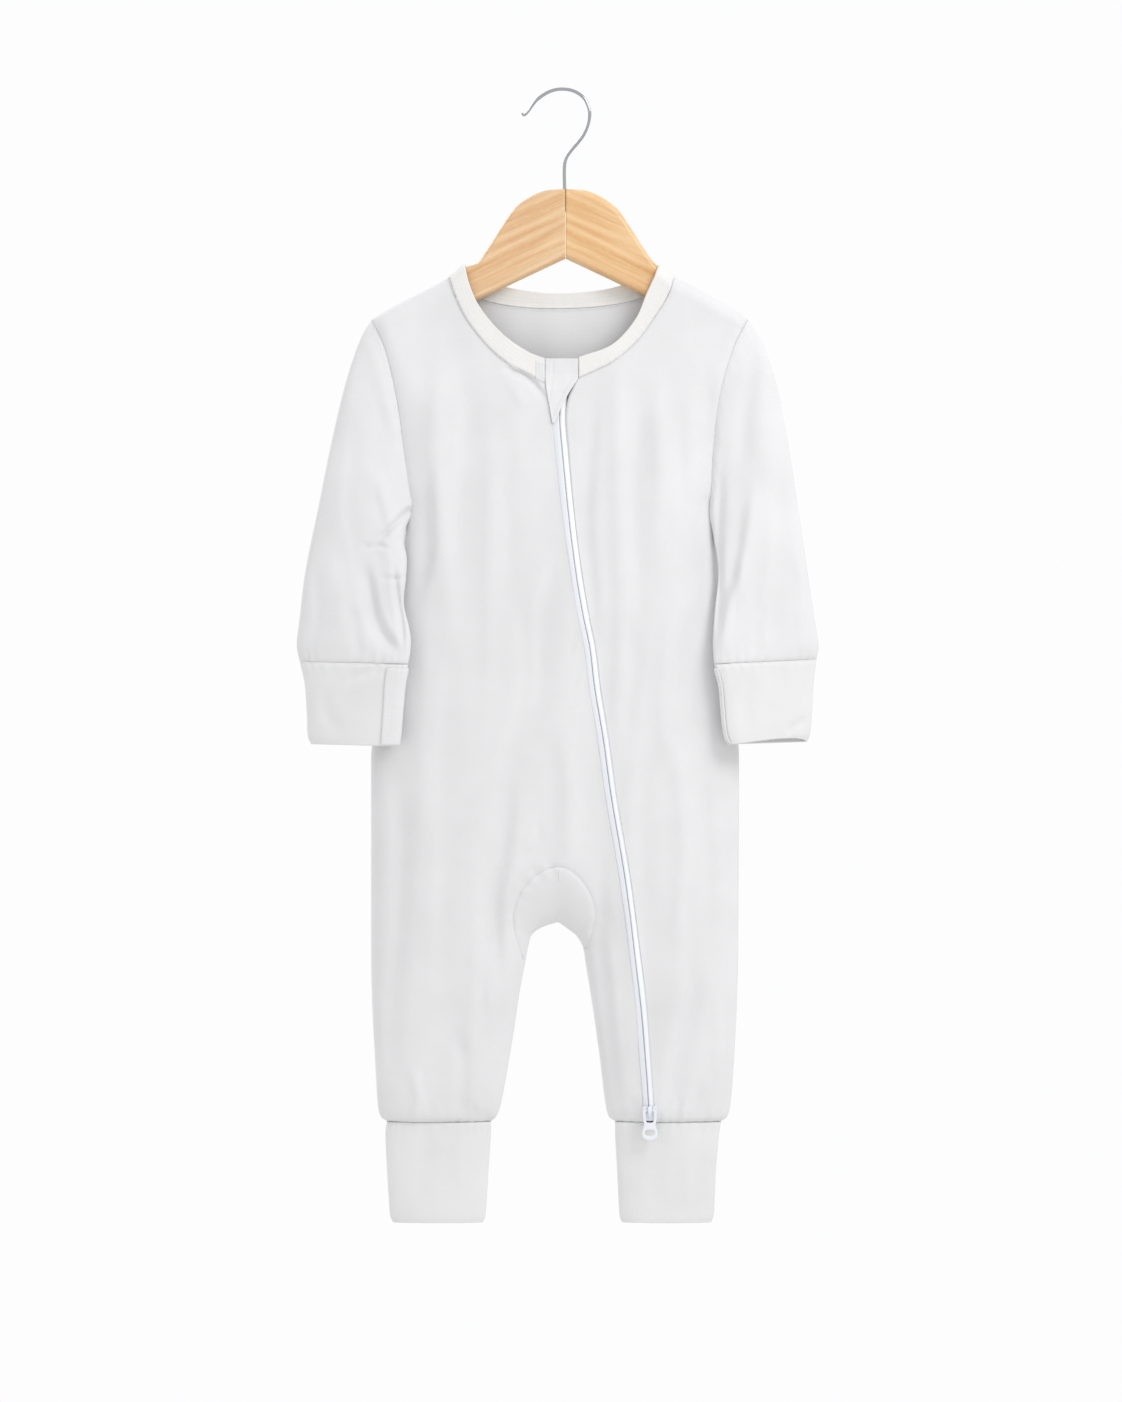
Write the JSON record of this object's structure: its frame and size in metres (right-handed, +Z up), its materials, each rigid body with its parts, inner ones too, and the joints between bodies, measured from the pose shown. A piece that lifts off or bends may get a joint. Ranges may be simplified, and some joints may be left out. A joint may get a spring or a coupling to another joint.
{
  "type": "footless zip romper on hanger",
  "caption": "Long-sleeved footless baby romper with a slanting zip from neck to ankle, fold-over cuffs and a crotch gusset, hung on a wooden hanger with a wire hook.",
  "frame": {"origin": "the inside of the hook's crown, where a rail carries the hanger", "axes": "+Z up, +X the wearer's left (the viewer's right), -Y towards the viewer"},
  "size_m": [0.3226, 0.0486, 0.7033],
  "materials": {
    "jersey_cloth": "soft matt single jersey, off-white",
    "rib_knit": "matt knit, off-white, a little creamier than the body",
    "zip_tape": "woven tape, bluish white",
    "zip_coil": "moulded coil, bluish white, satin",
    "painted_metal": "smooth bluish-white paint, half gloss",
    "maple_wood": "honey-coloured wood, satin lacquer",
    "chromed_wire": "bright chrome"
  },
  "bodies": {
    "romper_on_hanger": {"front_right": "jersey_cloth", "front_left": "jersey_cloth", "back": "jersey_cloth", "crotch_gusset": "jersey_cloth", "zip_guard": "jersey_cloth", "sleeve_right": "jersey_cloth", "sleeve_left": "jersey_cloth", "neck_band": "rib_knit", "sleeve_cuff_right": "rib_knit", "sleeve_cuff_left": "rib_knit", "mitten_fold_right": "rib_knit", "mitten_fold_left": "rib_knit", "leg_cuff_right": "rib_knit", "leg_cuff_left": "rib_knit", "zip_tape_right": "zip_tape", "zip_tape_left": "zip_tape", "zip_coil": "zip_coil", "zip_slider": "painted_metal", "hanger_arm_right": "maple_wood", "hanger_arm_left": "maple_wood", "hanger_hook": "chromed_wire"},
    "zip_pull": {"pull_tab": "painted_metal"}
  },
  "joints": [
    {"name": "pull_tab_hinge", "type": "hinge", "parent": "romper_on_hanger", "child": "zip_pull", "pos_m": [0.0554, -0.01652, -0.6306], "axis": [-1, 0, 0], "range_deg": [-3, 165]}
  ]
}
